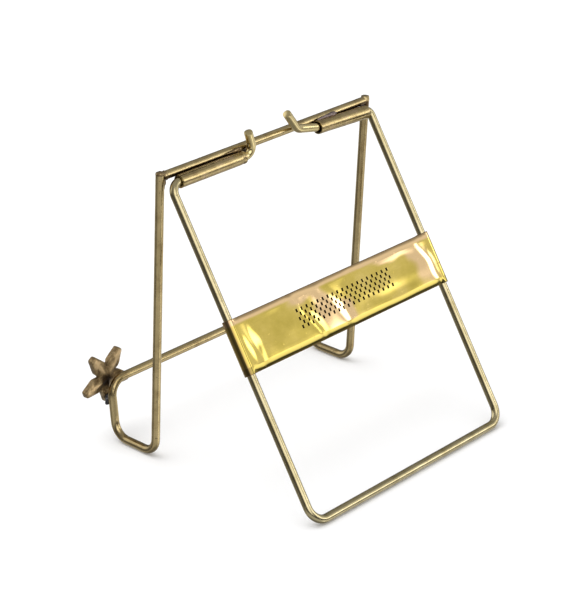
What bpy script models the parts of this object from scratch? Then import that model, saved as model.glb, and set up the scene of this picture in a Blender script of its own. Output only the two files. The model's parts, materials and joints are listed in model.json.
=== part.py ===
# Folding wire stand for an album, a tile or a small picture. Metres, +Z up, front towards -Y.
# The origin is the middle of the stand's footprint box, on the surface that it stands on.
# Right means +X, as someone facing the front sees it.
import math

import bmesh
import bpy
from mathutils import Matrix, Vector

MM = 0.001

# Rod stock
ROD_DIAMETER = 3.0 * MM
ROD_SIDES = 16
BEND_STEPS = 8
GAP = 0.25 * MM  # kept between pieces that touch
SHARP_ANGLE = math.radians(40.0)  # edges sharper than this stay crisp

# Display frame, on the rod's centre line
FRAME_WIDTH = 100.0 * MM
LEG_LENGTH = 102.5 * MM
LEG_LEAN = math.radians(3.26)  # backwards
LEDGE_DEPTH = 19.2 * MM
LIP_HEIGHT = 20.25 * MM
LIP_LEAN = math.radians(5.5)  # forwards
BEND_RADIUS = 5.7 * MM

# Hinge
HINGE_BACK = 3.12 * MM  # behind the top bar's centre line
HINGE_DROP = 2.26 * MM  # below it
TUBE_DIAMETER = 4.1 * MM
TUBE_BORE = 3.5 * MM
TUBE_SIDES = 24
TUBE_SPANS = {"right": (14.9 * MM, 44.2 * MM), "left": (-46.0 * MM, -21.8 * MM)}

# Prop frame, on the rod's centre line
PROP_WIDTH = 97.0 * MM
PROP_LENGTH = 118.0 * MM  # hinge axis to bottom bar
PROP_TOP_BENDS = {"right": 4.0 * MM, "left": 2.2 * MM}

# Stop pegs: the rod's two ends, turned up behind the top bar
PEG_LEAN = math.radians(5.0)  # backwards
PEG_CORNERS = {  # X, height above the axis; the last one is the tip
    "right": ((9.8 * MM, 0.0), (13.2 * MM, 8.6 * MM)),
    "left": ((-20.8 * MM, 0.0), (-11.2 * MM, 2.9 * MM), (-5.3 * MM, 10.1 * MM)),
}
PEG_BENDS = {"right": (2.8 * MM,), "left": (6.0 * MM, 5.0 * MM)}

# Name plate
PLATE_TOP = 47.0 * MM  # down the prop from the hinge axis
PLATE_HEIGHT = 19.0 * MM
SHEET = 0.4 * MM
CURL_ANGLE = math.radians(250.0)
CURL_STEPS = 18

# Star ornament
STAR_ARMS = (  # each arm's direction from +X, and its length
    (math.radians(-20.0), 10.5 * MM),
    (math.radians(55.0), 10.6 * MM),
    (math.radians(124.0), 10.8 * MM),
    (math.radians(198.0), 10.2 * MM),
    (math.radians(270.0), 9.0 * MM),
)
STAR_VALLEY = 4.8 * MM
STAR_TIP = 1.5 * MM  # half of a tip's width
STAR_THICKNESS = 3.6 * MM
STAR_EDGE = 1.4 * MM
STAR_RIDGE_REACH = 0.85  # share of an arm's length
STAR_RIDGE_RISE = 0.36  # share of the thickness
STAR_SHIFT = Vector((-0.9 * MM, 0.0, 0.15 * MM))  # from the lip's top corner

# Worked out from the sizes above
ROD_RADIUS = ROD_DIAMETER / 2
ROD_FLAT = ROD_RADIUS * math.cos(math.pi / ROD_SIDES)  # centre line to a flat of the rod
SIDES = {"right": 1.0, "left": -1.0}
ACROSS = Vector((1.0, 0.0, 0.0))
DOWN = Vector((0.0, 0.0, -1.0))
LEG_UP = Vector((0.0, math.sin(LEG_LEAN), math.cos(LEG_LEAN)))
LEG_BACK = Vector((0.0, math.cos(LEG_LEAN), -math.sin(LEG_LEAN)))
LIP_UP = Vector((0.0, -math.sin(LIP_LEAN), math.cos(LIP_LEAN)))
LIP_FRONT = Vector((0.0, -math.cos(LIP_LEAN), -math.sin(LIP_LEAN)))
HEEL = Vector((0.0, 0.0, ROD_FLAT))  # where leg and ledge meet
TOE = HEEL + Vector((0.0, -LEDGE_DEPTH, 0.0))
LIP_TOP = TOE + LIP_UP * LIP_HEIGHT
BAR = HEEL + LEG_UP * LEG_LENGTH
HINGE = BAR + Vector((0.0, HINGE_BACK, -HINGE_DROP))
PROP_ANGLE = math.acos((HINGE.z - ROD_FLAT) / PROP_LENGTH)  # from the vertical
PROP_DOWN = Vector((0.0, math.sin(PROP_ANGLE), -math.cos(PROP_ANGLE)))
PROP_BACK = Vector((0.0, math.cos(PROP_ANGLE), math.sin(PROP_ANGLE)))
PEG_UP = Vector((0.0, math.sin(PEG_LEAN), math.cos(PEG_LEAN)))


def material(name, colour, roughness):
    brass = bpy.data.materials.new(name)
    brass.use_nodes = True
    shader = brass.node_tree.nodes["Principled BSDF"]
    shader.inputs["Base Color"].default_value = (*colour, 1.0)
    shader.inputs["Metallic"].default_value = 1.0
    shader.inputs["Roughness"].default_value = roughness
    return brass


def piece(name, mesh_data, look, parent):
    bmesh.ops.recalc_face_normals(mesh_data, faces=mesh_data.faces)
    mesh = bpy.data.meshes.new(name)
    mesh_data.to_mesh(mesh)
    mesh_data.free()
    mesh.materials.append(look)
    mesh.shade_smooth()
    mesh.set_sharp_from_angle(angle=SHARP_ANGLE)
    item = bpy.data.objects.new(name, mesh)
    item.parent = parent
    bpy.context.collection.objects.link(item)
    return item


def ring(mesh_data, centre, heading, flat):
    """A closed loop of edges across the rod, with one flat facing along flat."""
    basis = Matrix((flat.cross(heading), flat, heading)).transposed().to_4x4()
    half_side = Matrix.Rotation(math.pi / ROD_SIDES, 4, heading)
    place = Matrix.Translation(centre) @ half_side @ basis
    made = bmesh.ops.create_circle(mesh_data, segments=ROD_SIDES, radius=ROD_RADIUS, matrix=place)
    return list({edge for vert in made["verts"] for edge in vert.link_edges})


def push(mesh_data, edges, offset):
    """Draws the loop of edges straight along offset."""
    made = bmesh.ops.extrude_edge_only(mesh_data, edges=edges)["geom"]
    verts = [item for item in made if isinstance(item, bmesh.types.BMVert)]
    bmesh.ops.translate(mesh_data, verts=verts, vec=offset)
    return [item for item in made if isinstance(item, bmesh.types.BMEdge)]


def follow(mesh_data, edges, corners, bends):
    """Draws the loop from the first corner to the last, round a bend at each one between."""
    place = corners[0]
    for corner, target, bend in zip(corners[1:], corners[2:], bends):
        heading = (corner - place).normalized()
        leaving = (target - corner).normalized()
        turn = heading.angle(leaving)
        axis = heading.cross(leaving).normalized()
        tangent = bend * math.tan(turn / 2)
        start = corner - heading * tangent
        edges = push(mesh_data, edges, start - place)
        centre = start + axis.cross(heading) * bend
        spun = bmesh.ops.spin(
            mesh_data, geom=edges, cent=centre, axis=axis, angle=turn, steps=BEND_STEPS)
        edges = [item for item in spun["geom_last"] if isinstance(item, bmesh.types.BMEdge)]
        place = corner + leaving * tangent
    edges = push(mesh_data, edges, corners[-1] - place)
    bmesh.ops.edgeloop_fill(mesh_data, edges=edges)


def bent_rod(middle, flat, routes):
    """One rod, drawn both ways from its middle. A route is its corners and its bends' radii."""
    mesh_data = bmesh.new()
    edges = ring(mesh_data, middle, ACROSS, flat)
    for corners, bends in routes:
        follow(mesh_data, edges, [middle, *corners], bends)
    return mesh_data


def display_frame(look, parent):
    routes = []
    for side in SIDES.values():
        out = ACROSS * side * FRAME_WIDTH / 2
        corners = [out + LIP_TOP, out + TOE, out + HEEL, out + BAR + LEG_UP * ROD_RADIUS]
        routes.append((corners, [BEND_RADIUS] * 3))
    return piece("display_frame", bent_rod(LIP_TOP, LIP_FRONT, routes), look, parent)


def top_bar(look, parent):
    half = FRAME_WIDTH / 2 - ROD_RADIUS - GAP
    routes = [([BAR + ACROSS * side * half], []) for side in SIDES.values()]
    return piece("top_bar", bent_rod(BAR, LEG_BACK, routes), look, parent)


def prop_frame(look, parent):
    """Modelled about the hinge axis, because its parent stands there."""
    foot = PROP_DOWN * PROP_LENGTH
    routes = []
    for name, side in SIDES.items():
        out = ACROSS * side * PROP_WIDTH / 2
        peg = [ACROSS * across + PEG_UP * up for across, up in PEG_CORNERS[name]]
        bends = [BEND_RADIUS, PROP_TOP_BENDS[name], *PEG_BENDS[name]]
        routes.append(([out + foot, out, *peg], bends))
    return piece("prop_frame", bent_rod(foot, DOWN, routes), look, parent)


def hinge_tube(name, look, parent):
    low, high = TUBE_SPANS[name]
    mesh_data = bmesh.new()
    upright = Matrix.Rotation(math.pi / 2, 4, "Y")
    place = Matrix.Translation(HINGE + ACROSS * low) @ upright
    loops = []
    for diameter in (TUBE_DIAMETER, TUBE_BORE):
        made = bmesh.ops.create_circle(
            mesh_data, segments=TUBE_SIDES, radius=diameter / 2, matrix=place)
        loops += list({edge for vert in made["verts"] for edge in vert.link_edges})
    wall = bmesh.ops.bridge_loops(mesh_data, edges=loops)["faces"]
    made = bmesh.ops.extrude_face_region(mesh_data, geom=wall, use_keep_orig=True)["geom"]
    verts = [item for item in made if isinstance(item, bmesh.types.BMVert)]
    bmesh.ops.translate(mesh_data, verts=verts, vec=ACROSS * (high - low))
    return piece(f"hinge_tube_{name}", mesh_data, look, parent)


def name_plate(look, parent):
    """A sheet behind the prop's legs, rolled round both. Modelled about the hinge axis."""
    inner = ROD_RADIUS + GAP
    outer = inner + SHEET
    outside = []
    inside = []
    for side in SIDES.values():
        rod = ACROSS * side * PROP_WIDTH / 2
        angles = [math.pi / 2 - CURL_ANGLE * step / CURL_STEPS for step in range(CURL_STEPS + 1)]
        if side < 0:
            angles.reverse()
        for angle in angles:
            ray = ACROSS * side * math.cos(angle) + PROP_BACK * math.sin(angle)
            outside.append(rod + ray * outer)
            inside.append(rod + ray * inner)
    first_half = len(outside) // 2
    outside = outside[first_half:] + outside[:first_half]
    inside = inside[first_half:] + inside[:first_half]
    mesh_data = bmesh.new()
    drop = PROP_DOWN * PLATE_TOP
    outline = [mesh_data.verts.new(point + drop) for point in outside + inside[::-1]]
    count = len(outside)
    for index in range(count - 1):
        far = 2 * count - 1 - index
        mesh_data.faces.new((outline[index], outline[index + 1], outline[far - 1], outline[far]))
    made = bmesh.ops.extrude_face_region(
        mesh_data, geom=mesh_data.faces[:], use_keep_orig=True)["geom"]
    verts = [item for item in made if isinstance(item, bmesh.types.BMVert)]
    bmesh.ops.translate(mesh_data, verts=verts, vec=PROP_DOWN * PLATE_HEIGHT)
    return piece("name_plate", mesh_data, look, parent)


def star_ornament(look, parent):
    mesh_data = bmesh.new()
    clear = ROD_RADIUS + GAP + STAR_THICKNESS / 2
    centre = LIP_TOP + ACROSS * FRAME_WIDTH / 2 + STAR_SHIFT - Vector((0.0, clear, 0.0))

    def point(angle, out, beside, back):
        ray = Vector((math.cos(angle), 0.0, math.sin(angle)))
        turned = Vector((-ray.z, 0.0, ray.x))
        return mesh_data.verts.new(centre + ray * out + turned * beside + Vector((0.0, back, 0.0)))

    rims = []
    for face in (-1.0, 1.0):
        hub = point(0.0, 0.0, 0.0, face * STAR_THICKNESS / 2)
        edge = face * STAR_EDGE / 2
        rim = []
        ridges = []
        for index, (angle, length) in enumerate(STAR_ARMS):
            before = STAR_ARMS[index - 1][0]
            valley = angle - (angle - before) % math.tau / 2
            rim.append(point(valley, STAR_VALLEY, 0.0, edge))
            rim.append(point(angle, length, -STAR_TIP, edge))
            rim.append(point(angle, length, STAR_TIP, edge))
            ridge_up = face * STAR_THICKNESS * STAR_RIDGE_RISE
            ridges.append(point(angle, length * STAR_RIDGE_REACH, 0.0, ridge_up))
        for index, ridge in enumerate(ridges):
            corners = [rim[(3 * index + step) % len(rim)] for step in range(4)]
            fan = [hub, *corners]
            for near, far in zip(fan, fan[1:] + fan[:1]):
                mesh_data.faces.new((near, far, ridge))
        rims.append(rim)
    front, back = rims
    for index in range(len(front)):
        after = (index + 1) % len(front)
        mesh_data.faces.new((front[index], front[after], back[after], back[index]))
    return piece("star_ornament", mesh_data, look, parent)


def corner_solder(name, look, parent):
    """A fillet in the corner below the top bar, run a little way down the leg."""
    side = SIDES[name]
    reach = 1.6 * MM
    drop = 4.0 * MM
    depth = 1.2 * MM
    corner = BAR + ACROSS * side * (FRAME_WIDTH / 2 - ROD_RADIUS - GAP) - LEG_UP * (ROD_RADIUS + GAP)
    mesh_data = bmesh.new()
    points = (corner, corner - ACROSS * side * reach, corner - LEG_UP * drop)
    face = mesh_data.faces.new([mesh_data.verts.new(spot - LEG_BACK * depth / 2) for spot in points])
    made = bmesh.ops.extrude_face_region(mesh_data, geom=[face], use_keep_orig=True)["geom"]
    verts = [item for item in made if isinstance(item, bmesh.types.BMVert)]
    bmesh.ops.translate(mesh_data, verts=verts, vec=LEG_BACK * depth)
    return piece(f"corner_solder_{name}", mesh_data, look, parent)


def tube_solder(name, across, length, look, parent):
    """A long drop in the groove behind the top bar and above its tube."""
    radius = 0.7 * MM
    to_bar = ROD_RADIUS + GAP + radius
    to_tube = TUBE_DIAMETER / 2 + GAP + radius
    step = HINGE - BAR
    along = (to_bar ** 2 - to_tube ** 2 + step.length_squared) / (2 * step.length)
    rise = math.sqrt(to_bar ** 2 - along ** 2)
    groove = ACROSS.cross(step).normalized()
    centre = BAR + step.normalized() * along + groove * rise + ACROSS * across
    place = Matrix.Translation(centre) @ Matrix.Diagonal((length / 2, radius, radius, 1.0))
    mesh_data = bmesh.new()
    bmesh.ops.create_icosphere(mesh_data, subdivisions=2, radius=1.0, matrix=place)
    return piece(f"tube_solder_{name}", mesh_data, look, parent)


def star_solder(look, parent):
    """A lump between the star's lowest arm and the lip."""
    size = Vector((2.4 * MM, 0.75 * MM, 3.4 * MM))
    height = 13.0 * MM
    on_lip = TOE + LIP_UP * height + ACROSS * FRAME_WIDTH / 2
    centre = on_lip - Vector((0.0, ROD_RADIUS + GAP + size.y / 2 + 0.1 * MM, 0.0))
    place = Matrix.Translation(centre) @ Matrix.Diagonal((size.x, size.y, size.z, 1.0))
    mesh_data = bmesh.new()
    bmesh.ops.create_cube(mesh_data, size=1.0, matrix=place)
    bmesh.ops.bevel(
        mesh_data, geom=mesh_data.edges[:], offset=0.3 * MM, segments=1, affect="EDGES", profile=0.5)
    return piece("star_solder", mesh_data, look, parent)


def empty(name, place, parent=None):
    item = bpy.data.objects.new(name, None)
    item.location = place
    item.parent = parent
    bpy.context.collection.objects.link(item)
    return item


def centre_on_floor(stand, pieces):
    """Moves the whole stand so that its box stands on the origin."""
    bpy.context.view_layer.update()
    corners = [item.matrix_world @ Vector(corner) for item in pieces for corner in item.bound_box]
    low = Vector([min(corner[axis] for corner in corners) for axis in range(3)])
    high = Vector([max(corner[axis] for corner in corners) for axis in range(3)])
    middle = (low + high) / 2
    stand.location = (-middle.x, -middle.y, -low.z)


def main():
    for item in list(bpy.data.objects):
        bpy.data.objects.remove(item)
    rod_brass = material("rod_brass", (0.42, 0.33, 0.17), 0.3)
    tube_brass = material("tube_brass", (0.50, 0.40, 0.19), 0.28)
    sheet_brass = material("sheet_brass", (0.68, 0.56, 0.18), 0.15)
    cast_brass = material("cast_brass", (0.30, 0.21, 0.11), 0.45)
    solder = material("solder", (0.22, 0.19, 0.18), 0.5)
    stand = empty("stand", (0.0, 0.0, 0.0))
    hinge = empty("hinge", HINGE, stand)
    pieces = [
        display_frame(rod_brass, stand),
        top_bar(rod_brass, stand),
        prop_frame(rod_brass, hinge),
        name_plate(sheet_brass, hinge),
        star_ornament(cast_brass, stand),
        star_solder(solder, stand),
        tube_solder("right", 19.5 * MM, 6.0 * MM, solder, stand),
        tube_solder("left", -29.0 * MM, 8.0 * MM, solder, stand),
    ]
    for name in SIDES:
        pieces.append(hinge_tube(name, tube_brass, stand))
        pieces.append(corner_solder(name, solder, stand))
    centre_on_floor(stand, pieces)


main()
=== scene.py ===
# Folding brass wire stand for an album or a small picture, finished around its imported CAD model.
# Metres, Z up, front towards -Y. Right means +X, as someone facing the front sees it.
import json
import math

import bmesh
import bpy
from mathutils import Matrix, Vector, noise


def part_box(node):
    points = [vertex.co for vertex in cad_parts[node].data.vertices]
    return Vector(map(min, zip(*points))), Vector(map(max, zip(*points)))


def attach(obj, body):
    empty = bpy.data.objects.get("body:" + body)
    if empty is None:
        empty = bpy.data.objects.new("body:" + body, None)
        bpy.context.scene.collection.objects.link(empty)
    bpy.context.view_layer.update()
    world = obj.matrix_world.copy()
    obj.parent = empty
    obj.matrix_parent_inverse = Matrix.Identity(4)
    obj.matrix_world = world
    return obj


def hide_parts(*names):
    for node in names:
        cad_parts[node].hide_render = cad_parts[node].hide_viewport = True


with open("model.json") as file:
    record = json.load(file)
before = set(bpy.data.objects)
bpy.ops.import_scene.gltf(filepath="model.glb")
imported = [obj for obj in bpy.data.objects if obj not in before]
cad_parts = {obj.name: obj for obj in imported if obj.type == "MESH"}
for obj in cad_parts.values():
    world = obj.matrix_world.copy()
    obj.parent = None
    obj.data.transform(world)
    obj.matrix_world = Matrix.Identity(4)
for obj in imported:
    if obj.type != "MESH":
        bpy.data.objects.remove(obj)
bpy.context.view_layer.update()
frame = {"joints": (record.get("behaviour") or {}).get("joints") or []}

mm = 0.001
acrossX = Vector((1.0, 0.0, 0.0))
sides = {"right": 1.0, "left": -1.0}

print("stage: reading where the CAD parts stand")
frameLow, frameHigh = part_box("display_frame")
hingePoint = Vector(frame["joints"][0]["pos_m"])

# the display frame's rod, on its centre line
displayFrame = {
    "width": 100.0 * mm,
    "legLength": 102.5 * mm,
    "legLean": math.radians(3.26),   # backwards
    "ledgeDepth": 19.2 * mm,
    "lipHeight": 20.25 * mm,
    "lipLean": math.radians(5.5),    # forwards
    "bend": 5.7 * mm,
    "hingeBack": 3.12 * mm,          # hinge axis behind the top bar
    "hingeDrop": 2.26 * mm,          # and below it
    "snip": Vector((0.30, 0.75, 0.59)),          # which way the left leg's snipped end faces
    "snipOut": 1.0 * mm,
    # a small nick in the right lip, above the toe
    "nick": {"up": 5.6 * mm, "back": 1.3 * mm, "radius": 0.75 * mm, "depth": 0.32 * mm},
    # how much brown tint stands in for shade on the left leg, how dark the ledges are painted, how much that
    # varies, and over what distance
    "leftLegShade": (0.42, 0.25, 6.0 * mm),
    "ledgeDark": (0.52, 0.35, 5.0 * mm),
    "ledgeTop": 4.5 * mm,
}
rodRadius = (frameHigh.x - frameLow.x - displayFrame["width"]) / 2
legUp = Vector((0.0, math.sin(displayFrame["legLean"]), math.cos(displayFrame["legLean"])))
legBack = Vector((0.0, legUp.z, -legUp.y))
lipUp = Vector((0.0, -math.sin(displayFrame["lipLean"]), math.cos(displayFrame["lipLean"])))
lipFront = Vector((0.0, -lipUp.z, lipUp.y))
barPoint = hingePoint + Vector((0.0, -displayFrame["hingeBack"], displayFrame["hingeDrop"]))
heelPoint = barPoint - legUp * displayFrame["legLength"]
toePoint = heelPoint - Vector((0.0, displayFrame["ledgeDepth"], 0.0))
lipPoint = toePoint + lipUp * displayFrame["lipHeight"]


def makePiece(name, body, node, pieceMesh, finishes, smoothAngle=40.0):
    if "drawn" not in pieceMesh.verts.layers.float_vector:
        # a piece that wasn't drawn or rolled keeps its pattern where it stands
        drawn = pieceMesh.verts.layers.float_vector.new("drawn")
        for vert in pieceMesh.verts:
            vert[drawn] = vert.co.copy()
    mesh = bpy.data.meshes.new(name)
    pieceMesh.to_mesh(mesh)
    pieceMesh.free()
    for finish in finishes:
        mesh.materials.append(finish)
    mesh.shade_smooth()
    mesh.set_sharp_from_angle(angle=math.radians(smoothAngle))
    piece = bpy.data.objects.new(name, mesh)
    bpy.context.scene.collection.objects.link(piece)
    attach(piece, body)
    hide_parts(node)
    return piece


def addNode(tree, kind, inputs=None, **settings):
    node = tree.nodes.new("ShaderNode" + kind)
    for key, value in settings.items():
        setattr(node, key, value)
    for key, value in (inputs or {}).items():
        if isinstance(value, bpy.types.NodeSocket):
            tree.links.new(value, node.inputs[key])
        else:
            node.inputs[key].default_value = value
    return node


def addRamp(tree, source, stops):
    ramp = addNode(tree, "ValToRGB", {"Fac": source})
    elements = ramp.color_ramp.elements
    while len(elements) < len(stops):
        elements.new(0.5)
    for element, (place, colour) in zip(elements, stops):
        element.position = place
        element.color = (*colour, 1.0) if isinstance(colour, tuple) else (colour, colour, colour, 1.0)
    return ramp.outputs["Color"]


def mixColours(tree, amount, first, second, blend="MIX"):
    node = addNode(tree, "Mix", data_type="RGBA", blend_type=blend)
    for key, value in (("Factor", amount), ("A", first), ("B", second)):
        socket = [item for item in node.inputs if item.name == key and item.enabled][0]
        if isinstance(value, bpy.types.NodeSocket):
            tree.links.new(value, socket)
        elif isinstance(value, tuple):
            socket.default_value = (*value, 1.0)
        else:
            socket.default_value = value
    return [item for item in node.outputs if item.enabled][0]


def calculate(tree, operation, first, second=0.0, third=0.0):
    node = addNode(tree, "Math", {0: first, 1: second, 2: third}, operation=operation)
    return node.outputs[0]


def makeBrass(name, look):
    brass = bpy.data.materials.new(name)
    brass.use_nodes = True
    tree = brass.node_tree
    shader = tree.nodes["Principled BSDF"]
    place = addNode(tree, "Attribute", attribute_name="drawn").outputs["Vector"]
    along = look["along"]            # which way the stock was drawn or rolled
    stretch = [1.0, 1.0, 1.0]
    stretch[along] = look["stretch"]
    lined = addNode(tree, "Mapping", {"Vector": place, "Scale": stretch}).outputs["Vector"]
    lines = addNode(tree, "TexNoise", {"Vector": lined, "Scale": look["lineScale"], "Detail": 4.0,
                                       "Roughness": 0.65}).outputs["Fac"]
    clouds = addNode(tree, "TexNoise", {"Vector": place, "Scale": look["cloudScale"], "Detail": 5.0,
                                        "Roughness": 0.6}).outputs["Fac"]
    pits = addNode(tree, "TexNoise", {"Vector": place, "Scale": look["pitScale"], "Detail": 2.0,
                                      "Roughness": 0.5}).outputs["Fac"]
    patina = addRamp(tree, clouds, look["tones"])
    shade = addRamp(tree, lines, [(0.3, 1.0 - look["lineShade"]), (0.7, 1.0)])
    colour = mixColours(tree, 1.0, patina, shade, "MULTIPLY")
    speck = addRamp(tree, pits, [(look["pitFrom"], 0.0), (look["pitFrom"] + 0.05, 1.0)])
    colour = mixColours(tree, calculate(tree, "MULTIPLY", speck, look["pitShade"]), colour, look["pitColour"])
    for attribute, tint, spread in look.get("tints", ()):
        # a tint kept on the mesh (stains and painted shade, painted reflection, wear, brightening), with its
        # border broken up by the clouds
        stainAndShade = addNode(tree, "Attribute", attribute_name=attribute).outputs["Fac"]
        ragged = calculate(tree, "MULTIPLY_ADD", calculate(tree, "SUBTRACT", clouds, 0.5), spread, stainAndShade)
        share = addNode(tree, "Clamp", {"Value": calculate(tree, "MULTIPLY", ragged, stainAndShade)}).outputs[0]
        colour = mixColours(tree, share, colour, tint)
    tree.links.new(colour, shader.inputs["Base Color"])
    shader.inputs["Metallic"].default_value = 1.0
    rough = calculate(tree, "MULTIPLY_ADD", clouds, look["roughSpread"], look["rough"])
    rough = calculate(tree, "MULTIPLY_ADD", speck, 0.25, rough)
    tree.links.new(rough, shader.inputs["Roughness"])
    height = calculate(tree, "MULTIPLY_ADD", lines, look["lineDepth"], 0.0)
    height = calculate(tree, "MULTIPLY_ADD", speck, -look["pitDepth"], height)
    bump = addNode(tree, "Bump", {"Height": height, "Strength": look["bump"], "Distance": 0.0001})
    tree.links.new(bump.outputs["Normal"], shader.inputs["Normal"])
    return brass


print("stage: finishes")
# brown tint for real stains at joints and cut ends, and for painted shade where the bar and the tubes face
# each other and on the left leg
brownStainAndShade = ("stainAndShade", (0.13, 0.085, 0.045), 1.2)
rodLook = {
    "along": 2, "stretch": 0.02, "lineScale": 2600.0, "cloudScale": 150.0,
    "pitScale": 1500.0, "pitShade": 0.7,
}
legBrass = makeBrass("leg_brass", {
    **rodLook, "lineShade": 0.30, "lineDepth": 0.5,
    "tones": [(0.30, (0.42, 0.31, 0.15)), (0.48, (0.61, 0.485, 0.25)), (0.70, (0.70, 0.56, 0.30))],
    "pitFrom": 0.67, "pitColour": (0.09, 0.06, 0.03), "pitDepth": 0.7,
    "rough": 0.17, "roughSpread": 0.14, "bump": 0.5, "tints": [brownStainAndShade]})
propBrass = makeBrass("prop_brass", {
    **rodLook, "lineShade": 0.26, "lineDepth": 0.4,
    "tones": [(0.30, (0.42, 0.35, 0.18)), (0.50, (0.55, 0.475, 0.28)), (0.70, (0.62, 0.545, 0.34))],
    "pitFrom": 0.69, "pitColour": (0.10, 0.07, 0.04), "pitDepth": 0.6,
    "rough": 0.12, "roughSpread": 0.12, "bump": 0.4,
    "tints": [("brightened", (0.70, 0.58, 0.30), 0.8), brownStainAndShade]})
tubeBrass = makeBrass("tube_brass", {
    "along": 0, "stretch": 0.05, "lineScale": 2200.0, "lineShade": 0.25, "lineDepth": 0.4,
    "cloudScale": 260.0,
    "tones": [(0.30, (0.42, 0.31, 0.15)), (0.50, (0.57, 0.45, 0.22)), (0.70, (0.66, 0.50, 0.30))],
    "pitScale": 1300.0, "pitFrom": 0.66, "pitShade": 0.6, "pitColour": (0.12, 0.08, 0.04), "pitDepth": 0.6,
    "rough": 0.17, "roughSpread": 0.16, "bump": 0.5, "tints": [brownStainAndShade]})
# the plate's tints: warm painted reflections, painted shade along the bottom edge and on the right curl, and
# real dark stains at the rims
plateBrass = makeBrass("plate_brass", {
    "along": 0, "stretch": 0.15, "lineScale": 900.0, "lineShade": 0.05, "lineDepth": 0.08,
    "cloudScale": 75.0,
    "tones": [(0.32, (0.58, 0.46, 0.09)), (0.50, (0.69, 0.54, 0.13)), (0.68, (0.78, 0.61, 0.19))],
    "pitScale": 1000.0, "pitFrom": 0.72, "pitShade": 0.5, "pitColour": (0.34, 0.23, 0.09), "pitDepth": 0.5,
    "rough": 0.045, "roughSpread": 0.05, "bump": 0.2,
    "tints": [("paintedReflection", (0.82, 0.59, 0.32), 2.2), ("bottomEdgeShade", (0.34, 0.272, 0.07), 1.0),
              ("stainAndShade", (0.20, 0.12, 0.06), 1.0)]})
castLook = {
    "along": 0, "stretch": 1.0, "lineScale": 900.0, "lineShade": 0.3, "lineDepth": 0.5,
    "pitScale": 2400.0, "pitFrom": 0.62, "pitShade": 0.5, "pitDepth": 0.5,
}
# the slots' pockets are coloured near black
slotDark = makeBrass("slot_dark", {
    **castLook, "lineDepth": 0.3, "cloudScale": 900.0,
    "tones": [(0.3, (0.012, 0.008, 0.004)), (0.5, (0.022, 0.015, 0.008)), (0.7, (0.05, 0.035, 0.015))],
    "pitFrom": 0.7, "pitColour": (0.01, 0.008, 0.005), "pitDepth": 0.3,
    "rough": 0.6, "roughSpread": 0.2, "bump": 0.4})
starBronze = makeBrass("star_bronze", {
    **castLook, "lineScale": 3200.0, "lineShade": 0.62, "lineDepth": 1.3, "cloudScale": 700.0,
    "tones": [(0.32, (0.25, 0.17, 0.085)), (0.50, (0.42, 0.30, 0.155)), (0.68, (0.62, 0.46, 0.25))],
    "pitScale": 2800.0, "pitFrom": 0.60, "pitShade": 0.7, "pitColour": (0.06, 0.04, 0.025), "pitDepth": 1.0,
    "rough": 0.24, "roughSpread": 0.14, "bump": 1.0,
    "tints": [("worn", (0.80, 0.60, 0.34), 2.6), ("stainAndShade", (0.055, 0.036, 0.02), 1.0)]})
solderGrey = makeBrass("solder_grey", {
    **castLook, "cloudScale": 500.0,
    "tones": [(0.35, (0.20, 0.16, 0.15)), (0.50, (0.33, 0.26, 0.25)), (0.70, (0.48, 0.40, 0.38))],
    "pitColour": (0.08, 0.06, 0.06), "rough": 0.38, "roughSpread": 0.15, "bump": 0.8})
solderBrown = makeBrass("solder_brown", {
    **castLook, "cloudScale": 600.0,
    "tones": [(0.35, (0.16, 0.105, 0.055)), (0.50, (0.36, 0.26, 0.14)), (0.70, (0.52, 0.38, 0.22))],
    "pitColour": (0.06, 0.04, 0.02), "rough": 0.28, "roughSpread": 0.15, "bump": 0.7,
    "tints": [("stainAndShade", (0.05, 0.035, 0.02), 1.0)]})
solderDarkAndShade = makeBrass("solder_dark_and_shade", {
    **castLook, "cloudScale": 600.0,
    "tones": [(0.35, (0.05, 0.05, 0.055)), (0.50, (0.12, 0.12, 0.13)), (0.70, (0.24, 0.24, 0.25))],
    "pitColour": (0.03, 0.03, 0.03), "rough": 0.30, "roughSpread": 0.15, "bump": 0.7})

# round rod is drawn ring by ring; a layer keeps each point's place on the straight rod

rodStock = {"sides": 32, "step": 0.9 * mm, "bendSteps": 12, "chamfer": 0.18 * mm,
            "unevenness": 0.010 * mm, "waviness": 2.5 * mm}


def startRing(rodMesh, centre, heading, flat):
    drawn = rodMesh.verts.layers.float_vector.new("drawn")
    rodMesh.verts.layers.float.new("stainAndShade")
    beside = flat.cross(heading)
    place = Matrix.Translation(centre) @ Matrix((beside, flat, heading)).transposed().to_4x4()
    made = bmesh.ops.create_circle(rodMesh, segments=rodStock["sides"], radius=rodRadius, matrix=place)
    for vert in made["verts"]:
        ray = vert.co - centre
        vert[drawn] = Vector((ray.dot(beside), ray.dot(flat), 0.0))
    return list({edge for vert in made["verts"] for edge in vert.link_edges})


def drawOn(rodMesh, edges, move, travel):
    drawn = rodMesh.verts.layers.float_vector["drawn"]
    made = bmesh.ops.extrude_edge_only(rodMesh, edges=edges)["geom"]
    verts = [item for item in made if isinstance(item, bmesh.types.BMVert)]
    bmesh.ops.transform(rodMesh, matrix=move, verts=verts)
    for vert in verts:
        vert[drawn] = vert[drawn] + Vector((0.0, 0.0, travel))
    return [item for item in made if isinstance(item, bmesh.types.BMEdge)]


def drawStraight(rodMesh, edges, offset, way):
    steps = max(1, round(offset.length / rodStock["step"]))
    for step in range(steps):
        edges = drawOn(rodMesh, edges, Matrix.Translation(offset / steps), way * offset.length / steps)
    return edges


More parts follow.
